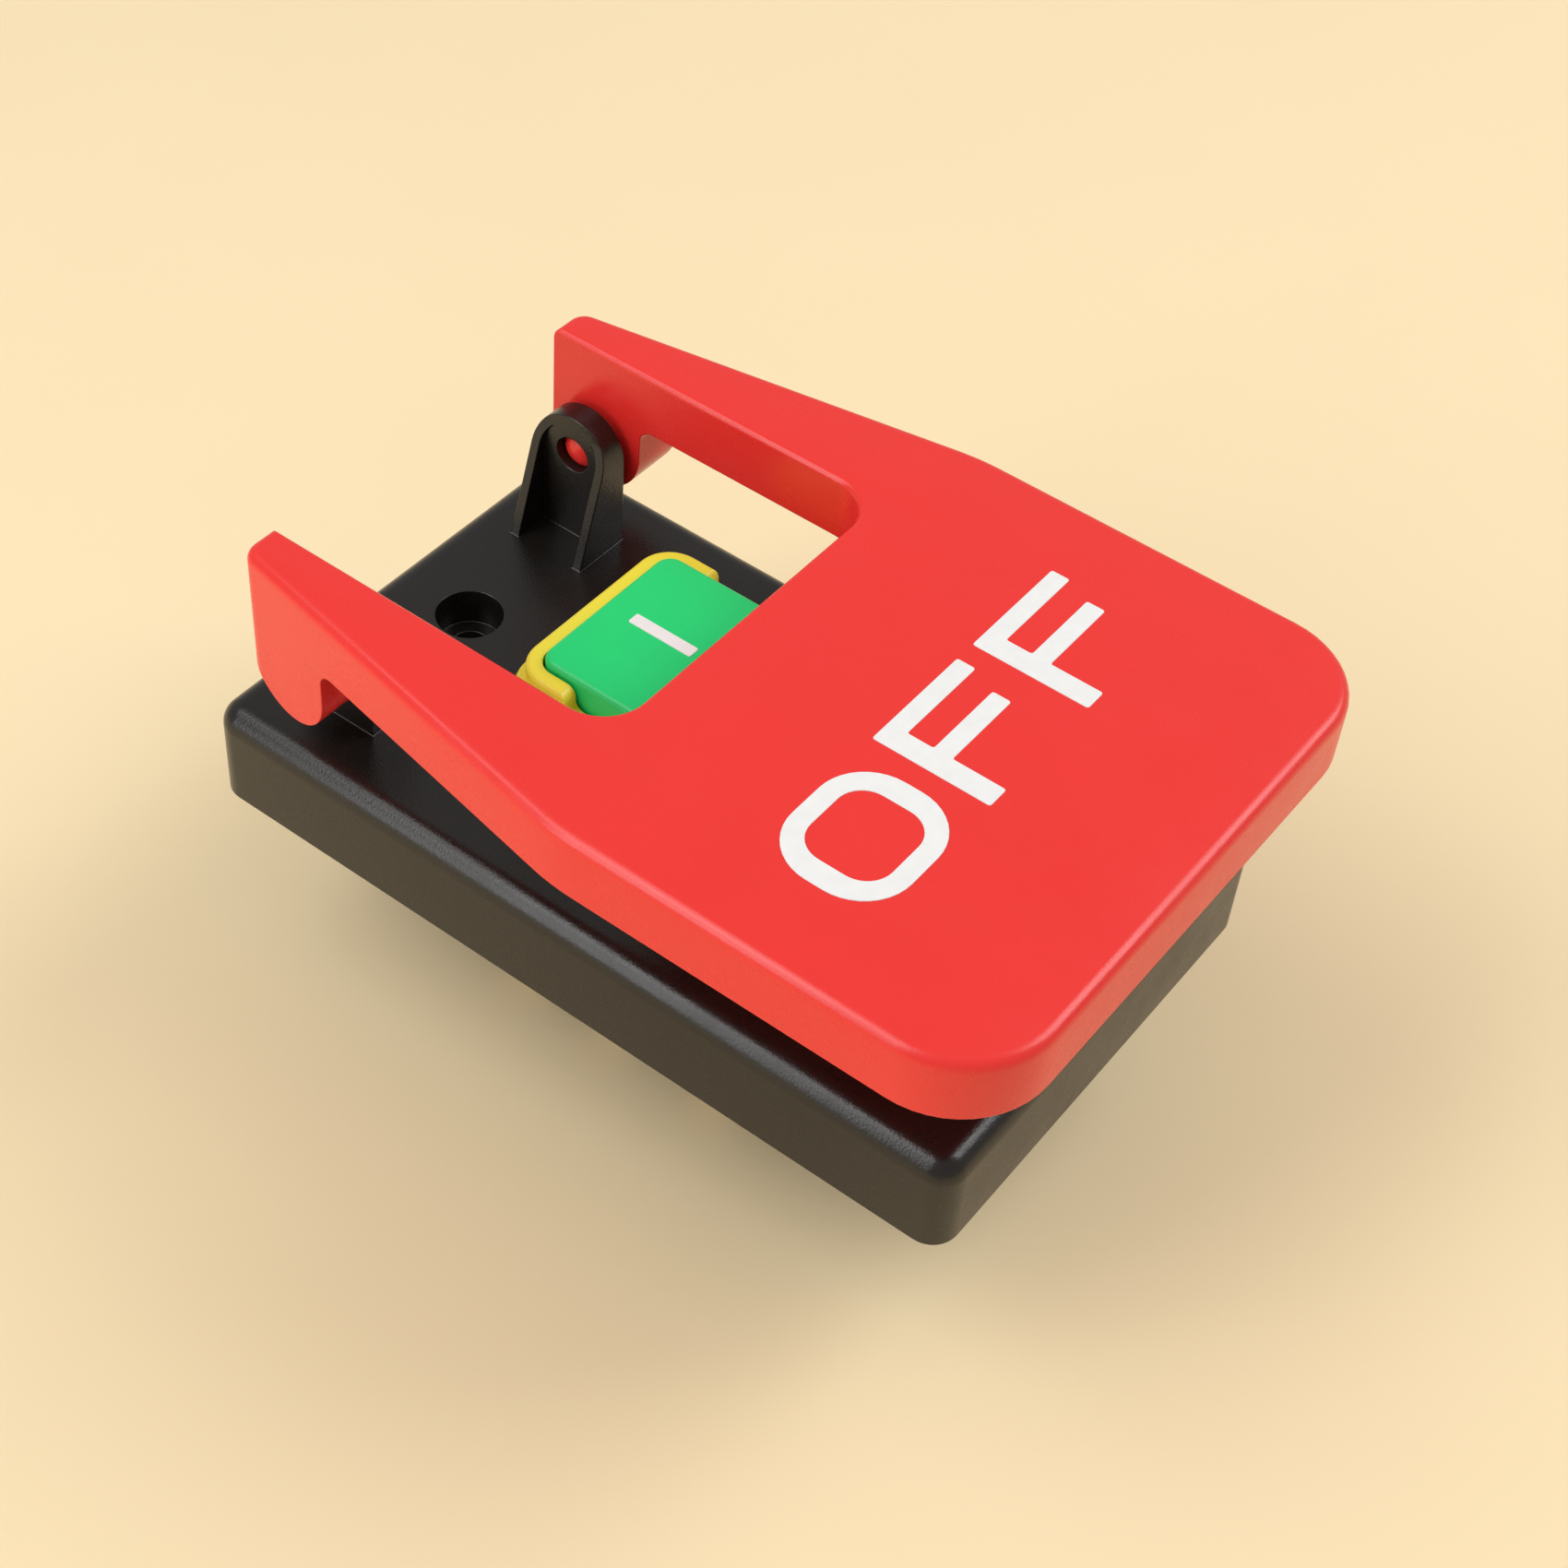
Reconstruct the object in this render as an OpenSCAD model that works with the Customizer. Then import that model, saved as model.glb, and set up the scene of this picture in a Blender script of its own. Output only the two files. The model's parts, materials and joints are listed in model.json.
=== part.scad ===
// Emergency stop switch: a hinged stop paddle and a guarded start button on a no-volt-release contact block.
// X is the width, Y the length with the hinge at +Y, Z points out of the panel. The panel face is at Z = 0.

/* [Front housing] */
// Length of the front housing
base_l = 105; // [102:1:125]
// Width of the front housing
base_w = 62.3; // [60:0.1:76]
// Height of the front housing above the panel
base_h = 13.4; // [13:0.1:20]
// Radius of the upright corners
base_corner = 3.4; // [3.2:0.1:10]
// Rounding of the top edge
base_edge = 3; // [1:0.1:3.1]
// Thickness of the side walls
base_wall = 2.2; // [1.6:0.1:3]
// Thickness of the top
base_top = 2.5; // [2:0.1:4]
// Thickness of the ribs inside
rib_t = 1.6; // [1:0.1:2.5]

/* [Mounting] */
// Distance between the two panel screws
screw_pitch = 80; // [79:0.5:86]
// Diameter of the panel screw holes
screw_hole_d = 4.5; // [3.5:0.1:5.5]
// Diameter of the recess for the screw head
screw_head_d = 8.2; // [7:0.1:9]
// Depth of the recess for the screw head
screw_head_depth = 5; // [3:0.5:8]
// Wall of the screw tubes
screw_tube_wall = 2; // [1.5:0.1:2.2]

/* [Hinge] */
// Distance of the hinge axis from the middle of the housing
hinge_y = 40.4; // [38:0.1:44]
// Height of the hinge axis above the housing's top
hinge_rise = 12.4; // [11:0.1:16]
// Radius of the lugs' round tops
lug_r = 5.6; // [5:0.1:6]
// Radius of the paddle's hinge lobes
lobe_r = 6.8; // [5:0.1:7.5]
// Radius of the fillet between a lobe and the skirt
lobe_blend = 2; // [1:0.1:4]
// Height of the lugs' gussets above the hinge axis
gusset_rise = 3.4; // [1:0.1:4]
// Depth of a lug at its foot
lug_foot_t = 8.2; // [7:0.1:9]
// Thickness of the web that holds the stub axle
lug_web = 3.2; // [2:0.1:3.5]
// Thickness of the lug's two gussets
lug_leg = 1.3; // [1:0.1:2.4]
// Gap between a lug and the boss on the paddle's arm
arm_gap = 0.4; // [0.3:0.05:0.8]
// Height of the bosses round the stub axles
boss_h = 0.8; // [0.4:0.1:1.2]
// Diameter of those bosses
boss_d = 8; // [6:0.1:9]
// Diameter of the paddle's stub axles
axle_d = 4.6; // [3.5:0.1:5]
// Radial clearance of the stub axles
axle_fit = 0.05; // [0.03:0.01:0.1]
// How far the axles' domed ends stay behind the web's face
axle_recess = 0.5; // [0.2:0.1:1]
// Radius of the axles' domed ends
axle_dome_r = 3.4; // [2.8:0.1:6]

/* [Paddle] */
// Height of the paddle's top above the housing's top
paddle_rise = 25.8; // [25:0.1:30]
// Depth of the paddle's skirt
paddle_depth = 8.4; // [7:0.1:10]
// Wall of the paddle
paddle_wall = 2.2; // [1.6:0.1:3]
// Greatest width of the paddle
paddle_w = 77.3; // [74:0.1:90]
// Distance from the hinge axis to the free end
paddle_reach = 99.2; // [90:0.1:110]
// Distance from the hinge axis to where the arms start to draw in
bend_reach = 48.4; // [40:0.1:52]
// Radius of that bend
bend_r = 30; // [10:1:60]
// Angle at which the arms draw in
arm_turn = 10.6; // [6:0.1:11]
// Radius of the free end's corners
paddle_corner = 11.5; // [8:0.5:18]
// How much larger than the wall the radius of the arm tips' corners is
tip_round = 0.2; // [0.1:0.1:2]
// Rounding of the paddle's top edge
paddle_edge = 1.4; // [0.8:0.1:1.6]
// Width of the finger window
window_w = 47.7; // [47:0.1:49]
// Distance from the hinge axis to the window's end
window_reach = 41.2; // [40:0.1:43]
// Radius of the window's corners
window_corner = 5.5; // [4:0.1:8]
// Rounding of the window's top edge
window_edge = 0.8; // [0.4:0.1:1.5]
// Depth of the ribs under the paddle
paddle_rib_depth = 4; // [2:0.1:5]
// Distance of the long ribs from the middle
paddle_rib_x = 17; // [12:0.5:20]
// Width of the presser that works the stop button
presser_w = 14; // [8:0.5:18]
// Radius of the presser's nose
presser_r = 3; // [2:0.1:4]
// Gap between the presser and the stop button
presser_gap = 0.25; // [0.15:0.05:0.5]

/* [Buttons] */
// Width of the buttons
button_w = 23.4; // [21:0.1:24]
// Length of the buttons
button_l = 16.4; // [14:0.1:17]
// Distance between the buttons' middles
button_pitch = 22.4; // [22:0.1:23]
// Height of the start button's face above the housing's top
start_rise = 14.5; // [13.5:0.1:15.5]
// Height of the stop button's face above the housing's top
stop_rise = 13.6; // [13:0.1:14.5]
// Travel of both buttons
travel = 3; // [2:0.1:3.4]
// Radius of the buttons' upright corners
button_corner = 2.2; // [1.6:0.1:4]
// Rounding of the buttons' top edge
button_edge = 0.7; // [0.3:0.1:1.5]
// Wall of the buttons
button_wall = 1.6; // [1.2:0.1:2.4]
// Gap round the buttons
button_gap = 0.3; // [0.2:0.05:0.5]
// Width of the lip that keeps a button in
lip_w = 0.8; // [0.5:0.1:1]
// Thickness of that lip
lip_t = 2; // [1.2:0.1:2.2]
// Diameter of the buttons' stems
stem_d = 6; // [5:0.1:6.4]
// Radial clearance of the stems
stem_fit = 0.06; // [0.03:0.01:0.1]

/* [Surround] */
// Wall of the yellow surround
surround_wall = 1.9; // [1.2:0.1:2]
// Height of the surround's flange above the housing's top
flange_rise = 10.5; // [9.8:0.1:11]
// Height of the guard's rim above the housing's top
guard_rise = 13.5; // [12.5:0.1:14]
// Length of the guard's arms
guard_arm = 8.1; // [5:0.1:10]
// Radius of the step where the guard ends
guard_step = 1.3; // [0.6:0.1:1.4]
// Overhang of the flange
flange_w = 1.2; // [0.8:0.1:1.4]
// Thickness of the flange
flange_t = 1.2; // [0.8:0.1:1.6]
// Length of the skirt under the flange
skirt_l = 4.6; // [3:0.1:5]
// Gap between the skirt and the island
skirt_fit = 0.1; // [0.05:0.05:0.2]
// Wall of the island that carries the surround
island_wall = 1.8; // [1.6:0.1:3]

/* [Contact block] */
// Width of the case
case_w = 31; // [30.4:0.1:34]
// Length of the case
case_l = 54; // [53.5:0.5:58]
// Wall of the case
case_wall = 1.8; // [1.4:0.1:2]
// Thickness of the case's top
case_top_t = 2; // [1.5:0.1:2.4]
// Height of the stem guides above the case
guide_h = 4.3; // [3:0.1:4.5]
// Wall of the stem guides
guide_wall = 1.1; // [0.8:0.1:1.3]
// Depth of the case's screw flange below its top
flange_drop = 4; // [3.5:0.1:6]
// Thickness of the case's screw flange
ear_t = 2; // [1.5:0.1:3]
// Length of the case's screw flange at each end
ear_l = 6.8; // [6.5:0.1:7.4]
// Distance of the case screws from the middle line
case_screw_x = 10.5; // [8:0.1:12]
// Diameter of the screws' shanks
thread_d = 2.4; // [2:0.1:3]
// Clearance round the screws' shanks
thread_fit = 0.05; // [0.02:0.01:0.1]
// Diameter of the screws' heads
head_d = 5; // [4:0.1:5.4]
// Height of the screws' heads
head_h = 1.8; // [1.2:0.1:2]
// Radius of the screw heads' domes
head_dome_r = 3.25; // [3:0.05:4.5]
// Width of the screws' sockets across the corners
socket_d = 1.8; // [1.4:0.1:2.2]
// Wall of the posts that take the screws
post_wall = 1.6; // [1.2:0.1:2.4]
// Thickness of the rear cover
cover_t = 2; // [1.6:0.1:3]
// Height of the barriers between the terminals
barrier_h = 7.8; // [7.5:0.1:9]
// Thickness of those barriers
barrier_t = 1.4; // [1:0.1:2]
// Distance of the cover screws from the middle line
cover_screw_x = 9.5; // [8.6:0.1:9.8]

/* [Contacts] */
// Thickness of the terminals
terminal_t = 0.8; // [0.6:0.1:1]
// Width of the terminal tabs
tab_w = 4.8; // [4:0.1:5]
// Length of the tabs behind the rear cover
tab_l = 7.4; // [6:0.1:7.4]
// Length of a bridge contact between its tips
tip_pitch = 13.6; // [13.2:0.1:14]
// Diameter of the contact tips
contact_d = 3; // [2.4:0.1:3.4]
// Height of the contact tips
contact_h = 0.7; // [0.5:0.1:0.9]
// Gap that is left when the contacts close
contact_gap = 0.05; // [0.03:0.01:0.1]
// Thickness of the bridge contacts
bridge_t = 1; // [0.8:0.1:1.2]
// Width of the bridge contacts
bridge_w = 3.6; // [3.4:0.1:4]
// Distance of the bridge contacts from the middle line
bridge_x = 8.2; // [8:0.1:8.4]
// Distance of the stop circuit's tips from the middle line
stop_tip_x = 6.4; // [6:0.1:7]
// Gap between the stop circuit's strips and the case's top
strip_gap = 1.2; // [0.8:0.1:1.6]
// Gap round the tabs in the rear cover
tab_fit = 0.05; // [0.02:0.01:0.1]
// Thickness of the clip on the stop stem
clip_t = 0.8; // [0.6:0.1:1]

/* [Carrier and magnet] */
// Gap between the start button's stem and the carrier
push_gap = 0.2; // [0.1:0.05:0.3]
// Height of the carrier
carrier_h = 5; // [4.6:0.1:5.4]
// Length of the carrier along the block
carrier_l = 8; // [7.6:0.1:8.2]
// Thickness of the carrier over and under the bridge contacts' windows
carrier_skin = 0.8; // [0.6:0.1:1]
// Gap between the carrier and the case
carrier_gap = 0.3; // [0.2:0.05:0.4]
// Width of the rails that guide the carrier
rail_w = 2; // [1.6:0.1:2.6]
// Height of the rails
rail_h = 1.8; // [1.4:0.1:2]
// Thickness of the armature
armature_t = 2; // [1.6:0.1:2.4]
// Length of the armature and the core along the block
core_l = 7.6; // [7:0.1:8]
// Half width of the core
core_x = 10.6; // [10.4:0.1:11.4]
// Width of the core's outer legs
core_leg = 3; // [2.4:0.1:3]
// Width of the core's middle leg
core_mid = 5.2; // [4.6:0.1:5.6]
// Height of the core
core_h = 13.4; // [12:0.1:14]
// Thickness of the core's yoke
yoke_h = 3.4; // [2.8:0.1:3.8]
// Air gap that is left when the magnet closes
magnet_gap = 0.1; // [0.05:0.05:0.2]
// Wall of the coil's bobbin
bobbin_wall = 0.7; // [0.6:0.1:0.9]
// Gap between the bobbin and the core
bobbin_gap = 0.2; // [0.1:0.05:0.3]
// How far the core's poles stand above the bobbin
pole_rise = 0.8; // [0.4:0.1:1.2]

/* [Springs] */
// Mean radius of the button springs
button_spring_r = 5.2; // [5:0.1:5.6]
// Wire of the button springs
button_wire = 0.8; // [0.6:0.05:0.9]
// Turns of the button springs
button_turns = 7; // [5:0.5:8]
// Mean radius of the carrier springs
carrier_spring_r = 1.8; // [1.6:0.1:2]
// Wire of the carrier springs
carrier_wire = 0.45; // [0.3:0.05:0.5]
// Turns of the carrier springs
carrier_turns = 4; // [3:0.5:5]
// Mean radius of the contact springs
contact_spring_r = 1.3; // [1:0.1:1.4]
// Wire of the contact springs
contact_wire = 0.35; // [0.25:0.05:0.4]
// Turns of the contact springs
contact_turns = 3; // [2.5:0.5:3.5]

/* [Hidden] */
$fn = 64;
corner_steps = 12;
bend_steps = 6;
tip_steps = 6;
edge_steps = 6;
slack = 1;

// Heights of the housing, hinge and paddle
deck = base_h - base_top;
hinge_z = base_h + hinge_rise;
paddle_z = base_h + paddle_rise;
skirt_z = paddle_z - paddle_depth;
plate_z = paddle_z - paddle_wall;

// Places of the paddle
end_y = hinge_y - paddle_reach;
side_y = end_y + paddle_corner;
bend_x = paddle_w / 2 - bend_r;
bend_y = hinge_y - bend_reach;
tip_y = hinge_y + lobe_r;
tip_corner = paddle_wall + tip_round;
window_y = hinge_y - window_reach;
arm_l = tip_y - tip_corner - bend_y - (bend_r - tip_corner) * sin(arm_turn);
tip_x = bend_x + (bend_r - tip_corner) * cos(arm_turn) - arm_l * tan(arm_turn);
lobe_fillet = min(lobe_blend, skirt_z - hinge_z);

// Places of the lugs
lug_x = window_w / 2 - boss_h - arm_gap;
web_x = lug_x - lug_web;

// Places of the buttons and the surround
start_y = button_pitch / 2;
stop_y = -start_y;
start_z = base_h + start_rise;
stop_z = base_h + stop_rise;
cell_w = button_w + 2 * button_gap;
cell_l = button_l + 2 * button_gap;
cell_corner = button_corner + button_gap;
surround_w = cell_w + 2 * surround_wall;
surround_l = button_pitch + cell_l + 2 * surround_wall;
surround_corner = cell_corner + surround_wall;
flange_z = base_h + flange_rise;
guard_z = base_h + guard_rise;
island_z = flange_z - flange_t;
skirt_end_z = island_z - skirt_l;
guard_y = surround_l / 2 - guard_arm;
lip_z = skirt_end_z - button_gap - lip_t;

// Heights inside the contact block, from its top down
case_z = deck;
roof_z = case_z - case_top_t;
carrier_z = roof_z - carrier_gap - push_gap;
stem_z = carrier_z + push_gap;
carrier_low = carrier_z - carrier_h;
bridge_z = carrier_low + carrier_skin;
tip_z = bridge_z - contact_h;
fixed_z = tip_z - travel - contact_gap;
shelf_z = fixed_z - contact_h;
armature_z = carrier_low - armature_t;
pole_z = armature_z - travel - magnet_gap;
cover_z = pole_z - core_h;
rear_z = cover_z - cover_t;
yoke_z = cover_z + yoke_h;
flange_low = case_z - flange_drop - ear_t;

// Places inside the contact block
inner_w = case_w - 2 * case_wall;
inner_l = case_l - 2 * case_wall;
leg_x = inner_w / 2 - terminal_t;
ear_y = case_l / 2 + ear_l / 2;
cover_screw_y = inner_l / 2 - head_d / 2;
bridge_top_z = carrier_z - carrier_skin;
bridge_l = tip_pitch + contact_d;
wing_x = carrier_spring_r + carrier_wire;
bobbin_x = core_mid / 2 + bobbin_gap;
bobbin_y = core_l / 2 + bobbin_gap;
bobbin_low = yoke_z + bobbin_gap;
winding_t = core_x - core_leg - bobbin_gap - bobbin_x - bobbin_wall;
bobbin_top = pole_z - pole_rise;

// The stop circuit hangs on a shoulder of the stop button's stem
stop_strip_z = roof_z - terminal_t - strip_gap;
stop_fixed_z = stop_strip_z - contact_h;
shoulder_z = stop_fixed_z - contact_gap - contact_h;
stop_bridge_z = shoulder_z - bridge_t;
neck_d = stem_d / 2;
neck_end_z = stop_bridge_z - 2 * clip_t;

// Half of a rod's lengthwise section, with a domed end at the origin
module domed_section(d, length, dome_r) {
    intersection() {
        square([d / 2, length]);
        union() {
            translate([0, dome_r])
                circle(dome_r);
            translate([0, dome_r])
                square([d, length]);
        }
    }
}

// A flat outline drawn in Y and Z, pushed along X
module along_x(x0, x1) {
    translate([x0, 0, 0])
        rotate([90, 0, 90])
            linear_extrude(x1 - x0)
                children();
}

// A flat outline drawn in X and Z, pushed along Y
module along_y(y0, y1) {
    translate([0, y1, 0])
        rotate([90, 0, 0])
            linear_extrude(y1 - y0)
                children();
}

// A flat outline drawn in X and Y, pushed up
module upright(z0, z1) {
    translate([0, 0, z0])
        linear_extrude(z1 - z0)
            children();
}

module bar(x0, x1, y0, y1, z0, z1) {
    translate([x0, y0, z0])
        cube([x1 - x0, y1 - y0, z1 - z0]);
}

module both_sides() {
    children();
    mirror([1, 0, 0])
        children();
}

module both_ends() {
    children();
    mirror([0, 1, 0])
        children();
}

module rounded_rect(w, l, r) {
    square([w - 2 * r, l], center = true);
    square([w, l - 2 * r], center = true);
    for (x = [-1, 1], y = [-1, 1])
        translate([x * (w / 2 - r), y * (l / 2 - r)])
            circle(r);
}

// What a rounding of radius r takes off an outer edge at the origin
module edge_waste(r) {
    difference() {
        translate([-r, -r])
            square(r + slack);
        translate([-r, -r])
            circle(r);
    }
}

// The same waste round an upright corner of radius r
module corner_waste(r, edge, turn) {
    rotate_extrude(angle = turn)
        translate([r, 0])
            edge_waste(edge);
}

// The waste of a rounding round the whole top of a rounded slab
module slab_edge_waste(w, l, r, edge, z) {
    both_sides()
        along_y(-l, l)
            translate([w / 2, z])
                edge_waste(edge);
    both_ends()
        along_x(-w, w)
            translate([l / 2, z])
                edge_waste(edge);
    both_sides()
        both_ends()
            translate([w / 2 - r, l / 2 - r, z])
                corner_waste(r, edge, 90);
}

module slab(w, l, r, edge, z0, z1) {
    difference() {
        upright(z0, z1)
            rounded_rect(w, l, r);
        slab_edge_waste(w, l, r, edge, z1);
    }
}

// Side view of a lug or a hinge lobe: a strip with one round end at the hinge axis
module hinge_tongue(r, far_z) {
    translate([hinge_y, hinge_z])
        circle(r);
    translate([hinge_y - r, min(hinge_z, far_z)])
        square([2 * r, abs(hinge_z - far_z)]);
}

// A hinge lug: a round-topped web with two wedge gussets that widen to its foot
module lug() {
    top_z = hinge_z + lug_r;
    difference() {
        along_x(lug_x - lug_foot_t, lug_x)
            hinge_tongue(lug_r, deck);
        along_x(lug_x - lug_foot_t - slack, web_x)
            hinge_tongue(lug_r - lug_leg, base_h);
        along_y(hinge_y - lug_r - slack, hinge_y + lug_r + slack)
            polygon([
                [lug_x - lug_foot_t, base_h],
                [web_x, hinge_z + gusset_rise],
                [web_x, top_z + slack],
                [lug_x - lug_foot_t - slack, top_z + slack],
                [lug_x - lug_foot_t - slack, base_h]
            ]);
        along_x(web_x - slack, lug_x + slack)
            translate([hinge_y, hinge_z])
                circle(d = axle_d + 2 * axle_fit);
    }
}

module screw_tube() {
    tube_d = screw_head_d + 2 * screw_tube_wall;
    translate([0, screw_pitch / 2, 0])
        cylinder(d = tube_d, h = base_h - slack);
    bar(-rib_t / 2, rib_t / 2, screw_pitch / 2, base_l / 2 - base_wall, rib_t, deck + slack);
    bar(-base_w / 2 + base_wall, base_w / 2 - base_wall,
        screw_pitch / 2 - rib_t / 2, screw_pitch / 2 + rib_t / 2, case_z - flange_drop, deck + slack);
}

module screw_hole() {
    translate([0, screw_pitch / 2, -slack])
        cylinder(d = screw_hole_d, h = base_h + 2 * slack);
    translate([0, screw_pitch / 2, base_h - screw_head_depth])
        cylinder(d = screw_head_d, h = screw_head_depth + slack);
}

module case_post() {
    post_d = thread_d + 2 * post_wall;
    translate([case_screw_x, ear_y, case_z - flange_drop])
        cylinder(d = post_d, h = flange_drop + slack);
}

module front_housing() {
    hollow_w = base_w - 2 * base_wall;
    hollow_l = base_l - 2 * base_wall;
    cavity_w = surround_w + 2 * skirt_fit;
    cavity_l = surround_l + 2 * skirt_fit;
    cavity_corner = surround_corner + skirt_fit;
    color("#262321")
        difference() {
            union() {
                difference() {
                    slab(base_w, base_l, base_corner, base_edge, 0, base_h);
                    upright(-slack, deck)
                        rounded_rect(hollow_w, hollow_l, base_corner - base_wall);
                }
                slab(cavity_w + 2 * island_wall, cavity_l + 2 * island_wall, cavity_corner + island_wall,
                    button_edge, deck, island_z);
                both_sides()
                    lug();
                both_ends()
                    screw_tube();
                both_sides()
                    both_ends()
                        case_post();
            }
            both_ends()
                screw_hole();
            upright(deck - slack, island_z + slack)
                rounded_rect(cavity_w, cavity_l, cavity_corner);
            both_sides()
                both_ends()
                    translate([case_screw_x, ear_y, flange_low])
                        cylinder(d = thread_d + 2 * thread_fit, h = flange_drop + ear_t - thread_fit);
        }
}

// The guard's side view: a raised wall that drops to the flange through two arcs
module guard_profile() {
    back = surround_l / 2;
    difference() {
        union() {
            translate([guard_y, flange_z - flange_t])
                square([back - guard_y, guard_z - flange_z + flange_t]);
            translate([guard_y - guard_step, flange_z - flange_t])
                square([guard_step + slack, flange_t + guard_step]);
        }
        translate([guard_y - guard_step, flange_z + guard_step])
            circle(guard_step);
        translate([guard_y, guard_z])
            mirror([1, 0, 0])
                edge_waste(guard_step);
    }
}

module button_surround() {
    color("#f0dc3c")
        difference() {
            union() {
                upright(skirt_end_z, flange_z - slack / 2)
                    rounded_rect(surround_w, surround_l, surround_corner);
                slab(surround_w + 2 * flange_w, surround_l + 2 * flange_w, surround_corner + flange_w,
                    flange_t / 2, island_z, flange_z);
                intersection() {
                    slab(surround_w, surround_l, surround_corner, surround_wall / 3, island_z, guard_z);
                    along_x(-surround_w, surround_w)
                        guard_profile();
                }
            }
            both_ends()
                translate([0, start_y, 0])
                    upright(skirt_end_z - slack, guard_z + slack)
                        rounded_rect(cell_w, cell_l, cell_corner);
        }
}

// A hollow push button with a keeper lip and a stem, facing up at height top
module button_shell(y, top, stem_end) {
    translate([0, y, 0]) {
        difference() {
            union() {
                slab(button_w, button_l, button_corner, button_edge, lip_z, top);
                upright(lip_z, lip_z + lip_t)
                    rounded_rect(button_w + 2 * lip_w, button_l + 2 * lip_w, button_corner + lip_w);
            }
            upright(lip_z - slack, top - button_wall)
                rounded_rect(button_w - 2 * button_wall, button_l - 2 * button_wall,
                    button_corner - button_wall / 2);
        }
        translate([0, 0, stem_end])
            cylinder(d = stem_d, h = top - button_wall / 2 - stem_end);
    }
}

module start_button() {
    color("#26cd6e")
        button_shell(start_y, start_z, stem_z);
}

module stop_button() {
    color("#e02a24") {
        button_shell(stop_y, stop_z, shoulder_z);
        translate([0, stop_y, neck_end_z])
            cylinder(d = neck_d, h = shoulder_z - neck_end_z + slack);
    }
}

// One ring of wire points at angle turn of a coil
function wire_ring(r, wire, z, turn, sides) = [
    for (s = [0:sides - 1])
        let (a = 360 * s / sides, rr = r + wire / 2 * cos(a))
            [rr * cos(turn), rr * sin(turn), z + wire / 2 * sin(a)]
];

// A compression spring between two heights, with short flat ends
module coil_spring(r, wire, z0, z1, turns, sides = 6, steps = 14) {
    flat = 0.3;
    rings = round(turns * steps);
    rise = z1 - z0 - wire;
    points = [
        for (i = [0:rings])
            let (u = i / steps, share = min(1, max(0, (u - flat) / (turns - 2 * flat))))
                each wire_ring(r, wire, z0 + wire / 2 + rise * share, 360 * u, sides)
    ];
    walls = [
        for (i = [0:rings - 1], s = [0:sides - 1])
            let (n = (s + 1) % sides)
                [i * sides + s, i * sides + n, (i + 1) * sides + n, (i + 1) * sides + s]
    ];
    first = [for (s = [sides - 1:-1:0]) s];
    last = [for (s = [0:sides - 1]) rings * sides + s];
    polyhedron(points, concat(walls, [first, last]), convexity = 10);
}

module button_spring(y, top) {
    color("silver")
        translate([0, y, 0])
            coil_spring(button_spring_r, button_wire, case_z, top - button_wall, button_turns);
}

module start_spring() {
    button_spring(start_y, start_z);
}

module stop_spring() {
    button_spring(stop_y, stop_z);
}

// Rail that keeps the carrier from tilting
module carrier_rail() {
    bar(inner_w / 2 - rail_h, inner_w / 2 + slack / 2, start_y - rail_w / 2, start_y + rail_w / 2,
        armature_z, roof_z + slack / 2);
}

module cover_post() {
    post_d = thread_d + 2 * post_wall;
    translate([cover_screw_x, cover_screw_y, cover_z])
        cylinder(d = post_d, h = core_h - head_h - cover_t);
    bar(cover_screw_x - post_d / 2, cover_screw_x + post_d / 2, cover_screw_y, inner_l / 2 + slack / 2,
        cover_z, cover_z + core_h - head_h - cover_t);
}

module stem_bore() {
    translate([0, start_y, roof_z - slack])
        cylinder(d = stem_d + 2 * stem_fit, h = case_top_t + guide_h + 2 * slack);
}

module stem_guide() {
    translate([0, start_y, roof_z])
        cylinder(d = stem_d + 2 * stem_fit + 2 * guide_wall, h = case_top_t + guide_h);
}

module switch_case() {
    color("#3a3a3c")
        difference() {
            union() {
                difference() {
                    upright(cover_z, case_z)
                        rounded_rect(case_w, case_l, case_wall);
                    bar(-inner_w / 2, inner_w / 2, -inner_l / 2, inner_l / 2, cover_z - slack, roof_z);
                }
                difference() {
                    upright(flange_low, flange_low + ear_t)
                        rounded_rect(case_w, case_l + 2 * ear_l, case_wall);
                    bar(-inner_w / 2, inner_w / 2, -inner_l / 2, inner_l / 2, flange_low - slack, case_z);
                }
                both_ends()
                    stem_guide();
                both_sides()
                    carrier_rail();
                both_sides()
                    both_ends()
                        cover_post();
            }
            both_ends()
                stem_bore();
            both_sides()
                both_ends() {
                    translate([case_screw_x, ear_y, flange_low - slack])
                        cylinder(d = thread_d + 4 * thread_fit, h = ear_t + 2 * slack);
                    translate([cover_screw_x, cover_screw_y, cover_z - slack])
                        cylinder(d = thread_d + 2 * thread_fit, h = core_h - head_h - 2 * cover_t + slack);
                }
        }
}

// Where each tab passes the rear cover
tab_places = [
    [1, start_y - tip_pitch / 2], [-1, start_y - tip_pitch / 2],
    [1, start_y + tip_pitch / 2], [-1, start_y + tip_pitch / 2],
    [1, stop_y], [-1, stop_y]
];
barrier_places = [
    barrier_t / 2 - case_l / 2, (stop_y + start_y - tip_pitch / 2) / 2, start_y, case_l / 2 - barrier_t / 2
];

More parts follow.
